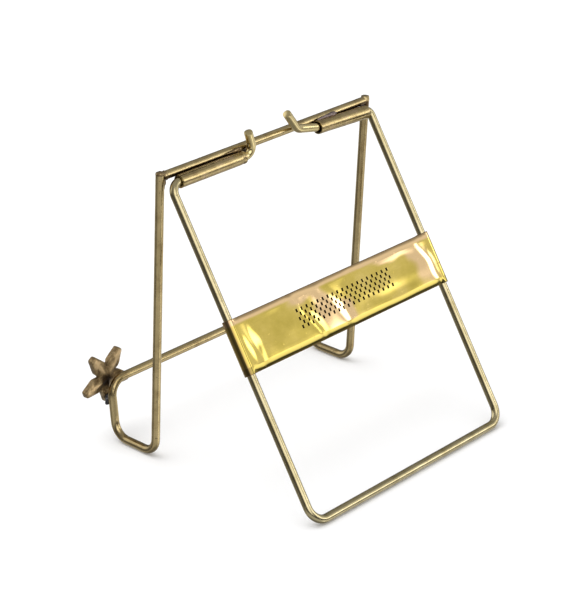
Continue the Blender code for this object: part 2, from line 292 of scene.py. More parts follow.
def drawRoute(rodMesh, edges, corners, bends, way):
    place = corners[0]
    for corner, target, bend in zip(corners[1:], corners[2:], bends):
        heading = (corner - place).normalized()
        leaving = (target - corner).normalized()
        turn = heading.angle(leaving)
        axis = heading.cross(leaving).normalized()
        tangent = bend * math.tan(turn / 2)
        start = corner - heading * tangent
        edges = drawStraight(rodMesh, edges, start - place, way)
        centre = start + axis.cross(heading) * bend
        steps = rodStock["bendSteps"]
        swing = (Matrix.Translation(centre) @ Matrix.Rotation(turn / steps, 4, axis)
                 @ Matrix.Translation(-centre))
        for step in range(steps):
            edges = drawOn(rodMesh, edges, swing, way * bend * turn / steps)
        place = corner + leaving * tangent
    edges = drawStraight(rodMesh, edges, corners[-1] - place, way)
    return bmesh.ops.edgeloop_fill(rodMesh, edges=edges)["faces"][0]


def roughen(pieceMesh, amount, scale):
    # slight hand-made unevenness, out along each point's own normal
    pieceMesh.normal_update()
    for vert, normal in [(vert, vert.normal.copy()) for vert in pieceMesh.verts]:
        vert.co += normal * amount * noise.noise(vert.co / scale)


def tarnish(pieceMesh, spots):
    # brown patches: centre, radius, strength
    stainAndShade = pieceMesh.verts.layers.float["stainAndShade"]
    for vert in pieceMesh.verts:
        for centre, radius, strength in spots:
            near = strength * math.exp(-((vert.co - centre).length / radius) ** 2)
            vert[stainAndShade] = max(vert[stainAndShade], near)


def rayAcross(point, axisPoint):
    # from an axis along X straight out to the point
    return Vector((0.0, point.y - axisPoint.y, point.z - axisPoint.z))


def towards(point, axisPoint, aim):
    # how squarely a point on a rod along X faces the aim, 1 being straight at it
    return rayAcross(point, axisPoint).normalized().dot(aim)


def ramp(value, low, high):
    return min(1.0, max(0.0, (value - low) / (high - low)))


def bentRod(middle, flat, routes):
    rodMesh = bmesh.new()
    edges = startRing(rodMesh, middle, acrossX, flat)
    ends = []
    for way, (corners, bends) in zip((1.0, -1.0), routes):
        ends.append(drawRoute(rodMesh, edges, [middle, *corners], bends, way))
    bmesh.ops.recalc_face_normals(rodMesh, faces=rodMesh.faces)
    return rodMesh, ends


def chamferEnds(rodMesh, ends, size):
    rims = [edge for end in ends for edge in end.edges]
    bmesh.ops.bevel(rodMesh, geom=rims, offset=size, segments=2, affect="EDGES", profile=0.5, material=-1)


print("stage: display frame")
routes = []
for side in sides.values():
    out = acrossX * side * displayFrame["width"] / 2
    corners = [out + lipPoint, out + toePoint, out + heelPoint, out + barPoint + legUp * rodRadius]
    routes.append((corners, [displayFrame["bend"]] * 3))
rodMesh, ends = bentRod(lipPoint, lipFront, routes)
legTop = {name: barPoint + acrossX * side * displayFrame["width"] / 2 for name, side in sides.items()}
cut = displayFrame["snip"].normalized()
tip = [face for face in rodMesh.faces if (face.calc_center_median() - legTop["left"]).length < 6.0 * mm]
tipEdges = list({edge for face in tip for edge in face.edges})
tipVerts = list({vert for face in tip for vert in face.verts})
made = bmesh.ops.bisect_plane(rodMesh, geom=tipVerts + tipEdges + tip,
                              plane_co=legTop["left"] + cut * displayFrame["snipOut"], plane_no=cut,
                              clear_outer=True)
snipped = [item for item in made["geom_cut"] if isinstance(item, bmesh.types.BMEdge)]
ends[1] = bmesh.ops.edgeloop_fill(rodMesh, edges=snipped)["faces"][0]
bmesh.ops.recalc_face_normals(rodMesh, faces=rodMesh.faces)
chamferEnds(rodMesh, ends, rodStock["chamfer"])
roughen(rodMesh, rodStock["unevenness"], rodStock["waviness"])
tarnish(rodMesh, [
    (legTop["right"] - legUp * 1.5 * mm - acrossX * 1.2 * mm, 2.2 * mm, 0.9),
    (legTop["left"] - legUp * 2.0 * mm + acrossX * 1.0 * mm, 2.6 * mm, 1.2),
    (legTop["left"] - legUp * 1.0 * mm + acrossX * 0.9 * mm + legBack * 1.3 * mm, 1.5 * mm, 1.8),
    (lipPoint + acrossX * (displayFrame["width"] / 2 - 0.5 * mm) + lipFront * 1.4 * mm, 3.4 * mm, 1.0),
])
nick = displayFrame["nick"]
nickPoint = toePoint + acrossX * displayFrame["width"] / 2 + lipUp * nick["up"] - lipFront * nick["back"]
tarnish(rodMesh, [(nickPoint - lipUp * 0.9 * mm, 0.6 * mm, 1.3)])
legInside = -displayFrame["width"] / 2 + rodRadius * 1.2
legFront = toePoint.y + 8.0 * mm
stainAndShade = rodMesh.verts.layers.float["stainAndShade"]
for vert, normal in [(vert, vert.normal.copy()) for vert in rodMesh.verts]:
    away = (vert.co - nickPoint).length / nick["radius"]
    vert.co -= normal * nick["depth"] * math.exp(-away ** 2)
    darkenings = []
    # painted shade on the left leg; the ledges darkened too
    if vert.co.x < legInside and vert.co.y > legFront:
        darkenings.append(displayFrame["leftLegShade"])
    if vert.co.z < displayFrame["ledgeTop"]:
        darkenings.append(displayFrame["ledgeDark"])
    for darkness, spread, size in darkenings:
        vert[stainAndShade] = max(vert[stainAndShade], darkness + spread * noise.noise(vert.co / size))
makePiece("display_frame_rod", "stand", "display_frame", rodMesh, [legBrass])

print("stage: top bar")
topBar = {
    "half": displayFrame["width"] / 2 - rodRadius * 0.8,
    "gapShadeBeyond": {"from": 14.0 * mm, "to": -22.0 * mm},     # painted shade over the tubes, beyond these two places
    "gapShade": 1.3,
    "gapShadeTurn": (0.45, 0.9),         # how squarely the side with painted shade faces the tubes
    "gapDark": {"along": 13.0 * mm, "out": 2.4 * mm, "radius": 2.4 * mm, "strength": 1.2},
}
rodMesh, ends = bentRod(barPoint, legBack, [([barPoint + acrossX * side * topBar["half"]], [])
                                            for side in sides.values()])
roughen(rodMesh, rodStock["unevenness"], rodStock["waviness"])
toTubes = (hingePoint - barPoint).normalized()
stainAndShade = rodMesh.verts.layers.float["stainAndShade"]
# painted shade on the bar's side that faces the tubes, for the dark gap between them
for vert in rodMesh.verts:
    across = vert.co.x - hingePoint.x
    if across > topBar["gapShadeBeyond"]["from"] or across < topBar["gapShadeBeyond"]["to"]:
        vert[stainAndShade] = topBar["gapShade"] * ramp(towards(vert.co, barPoint, toTubes), *topBar["gapShadeTurn"])
# a darker patch on the bar, in the gap by the right tube's inner end
gapDark = topBar["gapDark"]
tarnish(rodMesh, [(hingePoint + acrossX * gapDark["along"] - toTubes * gapDark["out"], gapDark["radius"],
                   gapDark["strength"])])
makePiece("top_bar_rod", "stand", "top_bar", rodMesh, [legBrass])

print("stage: prop")
propFrame = {
    "width": 97.0 * mm,
    "length": 118.0 * mm,            # hinge axis to bottom bar
    "bend": 5.7 * mm,
    "topBends": {"right": 4.0 * mm, "left": 2.2 * mm},
    "pegLean": math.radians(5.0),    # backwards
    "pegs": {                        # corners: X, height above the hinge axis; the last one is the tip
        "right": ((9.8 * mm, 0.0), (13.2 * mm, 8.6 * mm)),
        "left": ((-27.5 * mm, 0.0), (-21.0 * mm, 0.8 * mm), (-11.2 * mm, 2.9 * mm), (-5.3 * mm, 10.1 * mm)),
    },
    "pegBends": {"right": (2.8 * mm,), "left": (12.0 * mm, 12.0 * mm, 5.0 * mm)},
    # the pegs are painted a brighter brass: this far in from the legs, and this high up
    "brightenIn": (6.0 * mm, 12.0 * mm),
    "brightenUp": (60.0 * mm, 90.0 * mm),
    "brighten": 1.1,
    "tipStain": (1.7 * mm, 0.75),    # radius and strength
}
propAngle = math.acos((hingePoint.z - rodRadius) / propFrame["length"])
propDown = Vector((0.0, math.sin(propAngle), -math.cos(propAngle)))
propBack = Vector((0.0, math.cos(propAngle), math.sin(propAngle)))
pegUp = Vector((0.0, math.sin(propFrame["pegLean"]), math.cos(propFrame["pegLean"])))
footPoint = hingePoint + propDown * propFrame["length"]
routes = []
for name, side in sides.items():
    out = acrossX * side * propFrame["width"] / 2
    peg = [hingePoint + acrossX * across + pegUp * up for across, up in propFrame["pegs"][name]]
    routes.append(([out + footPoint, out + hingePoint, *peg],
                   [propFrame["bend"], propFrame["topBends"][name], *propFrame["pegBends"][name]]))
rodMesh, ends = bentRod(footPoint, Vector((0.0, 0.0, -1.0)), routes)
tips = [end.calc_center_median() for end in ends]
chamferEnds(rodMesh, ends, rodStock["chamfer"])
roughen(rodMesh, rodStock["unevenness"], rodStock["waviness"])
tarnish(rodMesh, [(tip, *propFrame["tipStain"]) for tip in tips])
brightened = rodMesh.verts.layers.float.new("brightened")
# a brighter brass tint on the pegs
for vert in rodMesh.verts:
    inwards = propFrame["width"] / 2 - abs(vert.co.x)
    vert[brightened] = (propFrame["brighten"] * ramp(inwards, *propFrame["brightenIn"])
                      * ramp(vert.co.z, *propFrame["brightenUp"]))
makePiece("prop_rod", "prop", "prop_frame", rodMesh, [propBrass])

# the name plate starts as a grid, and its ends are spun round both legs

namePlate = {
    "top": 47.0 * mm,                # down the prop from the hinge axis
    "height": 19.0 * mm,
    "outer": 2.15 * mm,              # prop's plane to the sheet's back face
    "thickness": 0.4 * mm,
    "curl": math.radians(250.0),
    "curlSteps": 28,
    "edgeBand": 2.7 * mm,            # the softly turned top and bottom edges
    "edgeTurn": 0.62 * mm,
    "step": (0.8, 1.0),              # widest gap between grid lines, along and down
    "edgeLines": [0.25 * index for index in range(1, 12)],
    "rim": 0.06 * mm,
    # depth, length along and length down of the flat's waves, and of the ripples that die away from an edge
    "waves": (0.05, 11.0, 8.0),
    "ripple": (0.012, 1.6, 2.4),
    "rippleReach": 2.5 * mm,
    "calm": 1.5,                     # no dents this near the curls
    # shallow dents: along from the right end, down from the top, half length, half height, slant, depth
    "dents": (
        (4.4, 11.0, 2.3, 7.0, 0.10, 0.34),
        (32.5, 10.0, 2.4, 12.0, 0.42, 0.22),
        (40.0, 9.0, 3.6, 12.0, 0.40, -0.22),
        (48.0, 11.0, 3.0, 8.0, 0.30, 0.20),
        (60.0, 3.6, 9.0, 2.2, 0.15, 0.14),
        (79.0, 4.2, 8.0, 2.6, 0.2, 0.15),
        (93.8, 10.0, 1.7, 9.0, 0.16, 0.26),
        (20.0, 3.5, 9.0, 2.4, 0.0, 0.07),
        (70.0, 14.5, 14.0, 2.4, 0.0, 0.06),
    ),
    "warp": 2.2,                     # how far the outlines of dents and patches wander,
    "warpFrom": 16.0,                # this far from the right end and beyond
    # painted reflections in warm patches: along, down, half length, half height, slant
    "reflectionPatches": ((39.5, 8.0, 5.0, 13.0, 0.40), (48.5, 13.0, 4.0, 4.5, 0.0), (89.5, 8.5, 5.6, 9.5, 0.20),
                (33.0, 2.6, 9.0, 2.6, 0.0), (78.0, 1.6, 14.0, 2.0, 0.0)),
    "reflectionStrength": 1.25,
    "edgeReflectionAndShade": 1.1,                 # painted reflection makes the top edge pink, and painted shade darkens the bottom one
    "edgeReflectionAndShadeRise": {"top": 3.0, "bottom": 8.0},
    "rimStain": (1.2, 0.30 * mm),    # strength, and how far in from the edge
    "curlShade": (0.78, 0.3, 1.2),   # painted shade on the right curl: strength, and where it starts and is full, beyond the right leg's axis
    # staggered slots: first column and row, their number and spacing, then the slot's own size
    "slots": {"start": 27.0, "columns": 37, "pitch": 1.26, "firstRow": 6.2, "rows": 5, "rowPitch": 1.42,
              "width": 0.80, "length": 1.10, "draft": 0.05, "depth": 0.28},
}


def plateLines(edges, limit, step):
    # grid lines at every given place, with others between them no further apart than step
    marks = sorted({0.0, limit, *edges})
    lines = [marks[0]]
    for near, far in zip(marks, marks[1:]):
        count = max(1, math.ceil((far - near) / step - 1e-6))
        lines += [near + (far - near) * index / count for index in range(1, count + 1)]
    return lines


def waviness(along, down, layer, depth, alongSize, downSize):
    return depth * noise.noise(Vector((along / alongSize, down / downSize, layer)))


def warped(along, down):
    # shifts a place on the sheet, so that no dent or patch keeps a regular outline
    place = Vector((along / 8.0, down / 6.0, 0.0))
    warp = namePlate["warp"] * min(1.0, along / namePlate["warpFrom"])
    return (along + warp * noise.noise(place),
            down + warp * noise.noise(place + Vector((31.0, 17.0, 5.0))))


def dent(along, down):
    depth = 0.0
    for middle, level, halfLength, halfHeight, slant, deep in namePlate["dents"]:
        shifted = (along - middle - slant * (down - level)) / halfLength
        depth += deep * math.exp(-shifted ** 2 - ((down - level) / halfHeight) ** 2)
    return depth


print("stage: name plate")
slots = namePlate["slots"]
slotAlong = [slots["start"] + column * slots["pitch"] for column in range(slots["columns"])]
slotDown = [slots["firstRow"] + row * slots["rowPitch"] for row in range(slots["rows"])]
plateLength = propFrame["width"] / mm
plateHeight = namePlate["height"] / mm
alongStep, downStep = namePlate["step"]
alongLines = plateLines([place + way * slots["width"] / 2 for place in slotAlong for way in (-1, 1)],
                        plateLength, alongStep)
downLines = plateLines([place + way * slots["length"] / 2 for place in slotDown for way in (-1, 1)]
                       + namePlate["edgeLines"]
                       + [plateHeight - line for line in namePlate["edgeLines"]], plateHeight, downStep)
plateMesh = bmesh.new()
bmesh.ops.create_grid(plateMesh, x_segments=len(alongLines) - 1, y_segments=len(downLines) - 1, size=0.5)
endEdges = {"right": [], "left": []}
for vert in plateMesh.verts:
    along = alongLines[round((0.5 - vert.co.x) * (len(alongLines) - 1))]
    down = downLines[round((vert.co.y + 0.5) * (len(downLines) - 1))]
    vert.co = Vector((propFrame["width"] / 2 - along * mm, down * mm, namePlate["outer"]))
for edge in plateMesh.edges:
    for name, side in sides.items():
        if all(abs(vert.co.x - side * propFrame["width"] / 2) < 1e-7 for vert in edge.verts):
            endEdges[name].append(edge)
punched = []
for face in plateMesh.faces:
    middle = face.calc_center_median()
    along = plateLength / 2 - middle.x / mm
    down = middle.y / mm
    for column, place in enumerate(slotAlong):
        for row, level in enumerate(slotDown):
            inside = abs(along - place) < slots["width"] / 2 and abs(down - level) < slots["length"] / 2
            if inside and (column + row) % 2 == 0:
                punched.append(face)
if plateMesh.faces[:][0].normal.z < 0:
    bmesh.ops.reverse_faces(plateMesh, faces=plateMesh.faces)
made = bmesh.ops.inset_individual(plateMesh, faces=punched, thickness=slots["draft"] * mm,
                                  depth=-slots["depth"] * mm, use_even_offset=True)
for face in punched + made["faces"]:
    face.material_index = 1
drawn = plateMesh.verts.layers.float_vector.new("drawn")
paintedReflection = plateMesh.verts.layers.float.new("paintedReflection")
stainAndShade = plateMesh.verts.layers.float.new("stainAndShade")
bottomEdgeShade = plateMesh.verts.layers.float.new("bottomEdgeShade")
for vert in plateMesh.verts:
    along = plateLength / 2 - vert.co.x / mm
    down = vert.co.y / mm
    toEnd = min(along, plateLength - along)
    calm = min(1.0, toEnd / namePlate["calm"])
    toEdge = min(down, plateHeight - down) * mm
    turned = max(0.0, 1.0 - toEdge / namePlate["edgeBand"])
    waves = waviness(along, down, 3.0, *namePlate["waves"])
    ripple = waviness(along, down, 8.0, *namePlate["ripple"]) * math.exp(-toEdge / namePlate["rippleReach"])
    bentAlong, bentDown = warped(along, down)
    sunk = dent(bentAlong, bentDown) + waves + ripple
    vert.co.z -= calm * (sunk * mm + namePlate["edgeTurn"] * turned ** 2)
    vert[drawn] = vert.co.copy()
    # painted reflections: warm patches on the flat
    for middle, level, halfLength, halfHeight, slant in namePlate["reflectionPatches"]:
        shifted = (bentAlong - middle - slant * (bentDown - level)) / halfLength
        patch = namePlate["reflectionStrength"] * math.exp(-shifted ** 4 - ((bentDown - level) / halfHeight) ** 4)
        vert[paintedReflection] = max(vert[paintedReflection], patch)
    # painted reflection along the top edge band, painted shade along the bottom one
    if down < plateHeight / 2:
        tint = namePlate["edgeReflectionAndShade"] * min(1.0, namePlate["edgeReflectionAndShadeRise"]["top"] * turned)
        vert[paintedReflection] = max(vert[paintedReflection], tint)
    else:
        vert[bottomEdgeShade] = namePlate["edgeReflectionAndShade"] * min(1.0, namePlate["edgeReflectionAndShadeRise"]["bottom"] * turned)
    strength, reach = namePlate["rimStain"]
    vert[stainAndShade] = strength * math.exp(-(toEdge / reach) ** 2)
for name, side in sides.items():
    bmesh.ops.spin(plateMesh, geom=endEdges[name], cent=(side * propFrame["width"] / 2, 0.0, 0.0),
                   axis=(0.0, side, 0.0), angle=namePlate["curl"], steps=namePlate["curlSteps"])
# painted shade on the curl round the right leg
strength, start, full = namePlate["curlShade"]
for vert in plateMesh.verts:
    beyond = (vert.co.x - propFrame["width"] / 2) / mm
    vert[stainAndShade] = max(vert[stainAndShade], strength * ramp(beyond, start, full))
bmesh.ops.recalc_face_normals(plateMesh, faces=plateMesh.faces)
plateMesh.faces.ensure_lookup_table()
if max(plateMesh.faces, key=lambda face: face.calc_center_median().z).normal.z < 0:
    bmesh.ops.reverse_faces(plateMesh, faces=plateMesh.faces)
toPlate = (Matrix.Translation(hingePoint + propDown * namePlate["top"])
           @ Matrix((acrossX, propDown, propBack)).transposed().to_4x4())
bmesh.ops.transform(plateMesh, matrix=toPlate, verts=plateMesh.verts)
plate = makePiece("name_plate_sheet", "prop", "name_plate", plateMesh,
                  [plateBrass, slotDark], 60.0)


def thicken(piece, thickness, edge):
    wall = piece.modifiers.new("wall", "SOLIDIFY")
    wall.thickness = thickness
    wall.offset = -1.0
    rim = piece.modifiers.new("rim", "BEVEL")
    rim.width = edge
    rim.segments = 2
    rim.limit_method = "ANGLE"
    rim.angle_limit = math.radians(55.0)


thicken(plate, namePlate["thickness"], namePlate["rim"])

# the hinge tubes are sheet rolled round the prop's ends, with an open seam

hingeTubes = {
    # the seam's place is in degrees from straight back, upwards; the flap is where the sheet has sprung open
    "right": {"low": 14.9 * mm, "high": 44.6 * mm, "innerEnd": 14.9 * mm, "radius": 2.25 * mm,
              "wall": 0.55 * mm, "seam": 80.0, "tilt": 0.0, "flap": 0.0,
              "groove": 1.3 * mm, "grooveDepth": 0.22 * mm},
    "left": {"low": -46.8 * mm, "high": -21.6 * mm, "innerEnd": -21.6 * mm, "radius": 2.36 * mm,
             "wall": 0.30 * mm, "seam": 4.0, "tilt": -2.4, "flap": 0.42 * mm,
             "groove": 0.0, "grooveDepth": 0.0},
}
tubeStock = {
    "sides": 40, "step": 0.45 * mm, "rim": 0.05 * mm,
    "flapSpan": math.radians(75.0),              # how much of the tube's girth the flap takes in
    "grooveWidth": 0.35 * mm,
    "gapShade": 1.2, "gapShadeTurn": (0.62, 0.95),       # painted shade where it faces the bar
    "slitCloses": (0.85, 1.6),                   # how far, and how soon along the tube
    "unevenness": 0.02 * mm, "waviness": 2.0 * mm,
}


def fromSeam(point, seamRay):
    ray = rayAcross(point, hingePoint)
    return math.atan2(seamRay.cross(ray).x, seamRay.dot(ray))


print("stage: hinge tubes")
for name, tube in hingeTubes.items():
    tubeMesh = bmesh.new()
    drawn = tubeMesh.verts.layers.float_vector.new("drawn")
    stainAndShade = tubeMesh.verts.layers.float.new("stainAndShade")
    low = hingePoint + acrossX * tube["low"]
    place = Matrix.Translation(low) @ Matrix.Rotation(math.pi / 2, 4, "Y")
    made = bmesh.ops.create_circle(tubeMesh, segments=tubeStock["sides"], radius=tube["radius"], matrix=place)
    edges = list({edge for vert in made["verts"] for edge in vert.link_edges})
    length = tube["high"] - tube["low"]
    steps = round(length / tubeStock["step"])
    for step in range(steps):
        made = bmesh.ops.extrude_edge_only(tubeMesh, edges=edges)["geom"]
        verts = [item for item in made if isinstance(item, bmesh.types.BMVert)]
        edges = [item for item in made if isinstance(item, bmesh.types.BMEdge)]
        bmesh.ops.translate(tubeMesh, verts=verts, vec=acrossX * length / steps)
    seamAngle = math.radians(tube["seam"])
    seamRay = Vector((0.0, math.cos(seamAngle), math.sin(seamAngle)))
    column = math.tau / tubeStock["sides"]
    slit = [face for face in tubeMesh.faces
            if abs(fromSeam(face.calc_center_median(), seamRay)) < column / 2 * 0.99]
    bmesh.ops.delete(tubeMesh, geom=slit, context="FACES")
    bmesh.ops.recalc_face_normals(tubeMesh, faces=tubeMesh.faces)
    flapSpan = tubeStock["flapSpan"]
    for vert in tubeMesh.verts:
        vert[drawn] = vert.co - low
        ray = rayAcross(vert.co, hingePoint).normalized()
        inward = abs(vert.co.x - hingePoint.x - tube["innerEnd"])
        share = 1.0 - inward / length            # 0 at the outer end, 1 at the inner end
        angle = fromSeam(vert.co, seamRay)
        # painted shade on the tube's side that faces the bar
        vert[stainAndShade] = tubeStock["gapShade"] * ramp(ray.dot(-toTubes), *tubeStock["gapShadeTurn"])
        lift = 0.0
        if tube["flap"] and -flapSpan < angle < 0.0:
            lift = tube["flap"] * (1.0 - share) ** 0.7 * (1.0 + angle / flapSpan) ** 2
        if tube["groove"]:
            toGroove = (inward - tube["groove"]) / tubeStock["grooveWidth"]
            lift -= tube["grooveDepth"] * math.exp(-toGroove ** 2)
        vert.co += ray * lift
        if abs(angle) < column * 0.6 and tube["flap"]:
            # the slit closes towards the inner end
            closing, sooner = tubeStock["slitCloses"]
            close = Matrix.Rotation(-angle * closing * min(1.0, share * sooner), 3, "X")
            vert.co = hingePoint + close @ (vert.co - hingePoint)
    pivot = hingePoint + acrossX * (tube["low"] + tube["high"]) / 2
    lean = (Matrix.Translation(pivot) @ Matrix.Rotation(math.radians(tube["tilt"]), 4, "Y")
            @ Matrix.Translation(-pivot))
    bmesh.ops.transform(tubeMesh, matrix=lean, verts=tubeMesh.verts)
    roughen(tubeMesh, tubeStock["unevenness"], tubeStock["waviness"])
    tubePiece = makePiece(f"hinge_tube_{name}_sheet", "stand", f"hinge_tube_{name}",
                          tubeMesh, [tubeBrass])
    thicken(tubePiece, tube["wall"], tubeStock["rim"])

# the star is cast, with a ridge along each arm

star = {
    # each arm's direction in degrees from +X, and its length
    "arms": ((-20.0, 10.5), (55.0, 10.6), (124.0, 10.8), (198.0, 10.2), (270.0, 9.0)),
    "valley": 3.7 * mm,
    "valleyEdge": 0.6,                               # share of the edge's thickness in the valleys
    "shoulder": (0.50, 2.75 * mm),                   # share of the length, and half the width there
    "tip": 1.15 * mm,
    "thickness": 3.6 * mm,
    "edge": 1.9 * mm,
    "hub": 0.40,                                     # share of the thickness at the middle, each way
    "ridgeEnd": 0.86,
    "creases": {"ridge": 1.0, "elsewhere": 0.45},
    "levels": 4,
    "grain": ((0.06 * mm, 1.1 * mm), (0.04 * mm, 0.35 * mm)),
    "centre": Vector((-0.9 * mm, 0.0, 0.15 * mm)),   # from the lip's top corner
    "clear": 3.55 * mm,                              # in front of it
    "joint": Vector((0.9 * mm, 2.2 * mm, -0.6 * mm)),
    "jointStain": (1.2, 2.8 * mm),                   # strength and radius
    # worn bright: strength, from where to where up the thickness, and along an arm of this length
    "worn": {"strength": 1.1, "up": (0.50, 0.85), "along": (0.1, 0.5), "arm": 10.0 * mm},
}

print("stage: star")
starLow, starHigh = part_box("star_ornament")
starMesh = bmesh.new()
starCentre = lipPoint + acrossX * displayFrame["width"] / 2 + star["centre"]
starCentre -= Vector((0.0, star["clear"], 0.0))


def starPoint(angle, out, beside, back):
    ray = Vector((math.cos(angle), 0.0, math.sin(angle)))
    turned = Vector((-ray.z, 0.0, ray.x))
    return starMesh.verts.new(starCentre + ray * out + turned * beside + Vector((0.0, back, 0.0)))


rims = []
arms = [(math.radians(angle), length * mm) for angle, length in star["arms"]]
share, width = star["shoulder"]
armSteps = 5                                         # rim points for each arm
for face in (-1.0, 1.0):
    hub = starPoint(0.0, 0.0, 0.0, face * star["thickness"] * star["hub"])
    rim, ridges = [], []
    half = face * star["edge"] / 2
    for index, (angle, length) in enumerate(arms):
        valley = angle - (angle - arms[index - 1][0]) % math.tau / 2
        rim.append(starPoint(valley, star["valley"], 0.0, half * star["valleyEdge"]))
        for out, beside in ((length * share, -width), (length, -star["tip"]), (length, star["tip"]),
                            (length * share, width)):
            rim.append(starPoint(angle, out, beside, half))
        ridges.append(starPoint(angle, length * star["ridgeEnd"], 0.0, face * star["thickness"] * 0.5))
    for index, ridge in enumerate(ridges):
        fan = [hub] + [rim[(armSteps * index + step) % len(rim)] for step in range(armSteps + 1)]
        for near, far in zip(fan, fan[1:] + fan[:1]):
            starMesh.faces.new((near, far, ridge))
    rims.append(rim)
front, back = rims
for index in range(len(front)):
    after = (index + 1) % len(front)
    starMesh.faces.new((front[index], front[after], back[after], back[index]))
bmesh.ops.recalc_face_normals(starMesh, faces=starMesh.faces)
crease = starMesh.edges.layers.float.new("crease_edge")
for edge in starMesh.edges:
    onRidge = [abs(vert.co.y - starCentre.y) > star["thickness"] * 0.38 for vert in edge.verts]
    edge[crease] = star["creases"]["ridge" if all(onRidge) else "elsewhere"]


def roughObject(pieceMesh):
    # a passing object, only there to carry modifiers until applied() takes its mesh back
    mesh = bpy.data.meshes.new("rough")
    pieceMesh.to_mesh(mesh)
    pieceMesh.free()
    rough = bpy.data.objects.new("rough", mesh)
    bpy.context.scene.collection.objects.link(rough)
    return rough


def applied(rough):
    bpy.context.view_layer.update()
    finished = bmesh.new()
    finished.from_object(rough, bpy.context.evaluated_depsgraph_get())
    bpy.data.objects.remove(rough)
    return finished


def fitInto(pieceMesh, low, high):
    for axis in range(3):
        least = min(vert.co[axis] for vert in pieceMesh.verts)
        most = max(vert.co[axis] for vert in pieceMesh.verts)
        scale = (high[axis] - low[axis]) / (most - least)
        for vert in pieceMesh.verts:
            vert.co[axis] = low[axis] + (vert.co[axis] - least) * scale


rough = roughObject(starMesh)
smoother = rough.modifiers.new("smoother", "SUBSURF")
smoother.levels = smoother.render_levels = star["levels"]
starMesh = applied(rough)
for grain, size in star["grain"]:
    roughen(starMesh, grain, size)
fitInto(starMesh, starLow, starHigh)
worn = starMesh.verts.layers.float.new("worn")
stainAndShade = starMesh.verts.layers.float.new("stainAndShade")
midThickness = (starLow.y + starHigh.y) / 2
wear = star["worn"]
strength, radius = star["jointStain"]
for vert in starMesh.verts:
    ray = vert.co - starCentre
    rise = abs(vert.co.y - midThickness) / (starHigh.y - starLow.y) * 2
    out = math.hypot(ray.x, ray.z) / wear["arm"]
    vert[worn] = wear["strength"] * ramp(rise, *wear["up"]) * ramp(out, *wear["along"])
    vert[stainAndShade] = strength * math.exp(-((ray - star["joint"]).length / radius) ** 4)
makePiece("star_casting", "stand", "star_ornament", starMesh, [starBronze], 180.0)

print("stage: solder")
solderFlow = {"grain": 0.12 * mm, "lump": 0.10, "waviness": 0.8 * mm, "smoothing": 0.5, "passes": 6}


def solderRun(name, nodeName, drops, finish, lump=solderFlow["lump"], stains=()):
    # drops: centre, and half sizes in millimetres; they flow together into one piece
    drop = bmesh.new()
    for centre, size in drops:
        place = Matrix.Translation(centre) @ Matrix.Diagonal((size[0] * mm, size[1] * mm, size[2] * mm, 1.0))
        bmesh.ops.create_icosphere(drop, subdivisions=3, radius=1.0, matrix=place)
    rough = roughObject(drop)
    merge = rough.modifiers.new("merge", "REMESH")
    merge.mode = "VOXEL"
    merge.voxel_size = solderFlow["grain"]
    flow = rough.modifiers.new("flow", "SMOOTH")
    flow.factor = solderFlow["smoothing"]
    flow.iterations = solderFlow["passes"]
    drop = applied(rough)
    roughen(drop, lump * mm, solderFlow["waviness"])
    drop.verts.layers.float.new("stainAndShade")
    tarnish(drop, stains)
    makePiece(name, "stand", nodeName, drop, [finish], 180.0)


solderRun("corner_solder_right_run", "corner_solder_right", (
    (legTop["right"] + legUp * 1.05 * mm, (1.55, 1.55, 0.95)),
    (legTop["right"] - acrossX * 0.9 * mm + legUp * 0.6 * mm, (1.2, 1.45, 1.1)),
    (legTop["right"] - acrossX * 2.2 * mm, (0.42, 1.68, 1.68)),
    (legTop["right"] - acrossX * 1.3 * mm - legUp * 1.9 * mm + legBack * 0.3 * mm, (0.75, 0.95, 1.5)),
    (legTop["right"] - acrossX * 1.15 * mm - legUp * 3.2 * mm + legBack * 0.4 * mm, (0.5, 0.7, 1.5)),
), solderBrown)
# the left corner's solder is dark, and its darkness also stands in for the shade below that corner
solderRun("corner_solder_left_run", "corner_solder_left", (
    (legTop["left"] + acrossX * 1.4 * mm - legUp * 1.5 * mm, (0.9, 1.0, 1.1)),
    (legTop["left"] + acrossX * 1.2 * mm - legUp * 2.6 * mm, (0.5, 0.8, 1.4)),
    (legTop["left"] + acrossX * 2.2 * mm - legUp * 1.2 * mm + legBack * 0.8 * mm, (0.8, 0.5, 0.5)),
), solderDarkAndShade)
tubeSolder = {
    # blobs are given by X from the middle of the CAD drop, half length and half thickness. More drops run on
    # past the right tube's inner end and hang below the bar, filling the dark gap there: X, Y and Z from the
    # hinge, and half length
    "right": {"finish": solderBrown, "blobs": ((-1.6, 2.2, 0.5), (-3.3, 1.3, 0.85), (0.4, 2.0, 0.3)),
              "gapDark": ((15.4, -1.55, 2.25, 0.9), (14.5, -2.3, 1.7, 1.4), (12.6, -2.5, 1.15, 1.4),
                       (11.0, -2.65, 0.85, 1.3))},
    "left": {"finish": solderGrey, "blobs": ((-0.8, 2.6, 0.9), (1.6, 2.4, 0.7), (4.4, 2.2, 0.42)),
             "gapDark": ()},
}
for name, run in tubeSolder.items():
    low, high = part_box(f"tube_solder_{name}")
    middle = (low + high) / 2
    drops = [(middle + acrossX * shift * mm, (halfLength, thick, thick))
             for shift, halfLength, thick in run["blobs"]]
    gapDark = [(hingePoint + Vector((across, behind, above)) * mm, (halfLength, 0.75, 0.75))
            for across, behind, above, halfLength in run["gapDark"]]
    # one of the gap drops is darkened further
    stains = [(centre, 2.6 * mm, 1.4) for centre, size in gapDark[-2:-1]]
    solderRun(f"tube_solder_{name}_run", f"tube_solder_{name}", drops + gapDark, run["finish"], stains=stains)
low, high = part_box("star_solder")
middle = (low + high) / 2
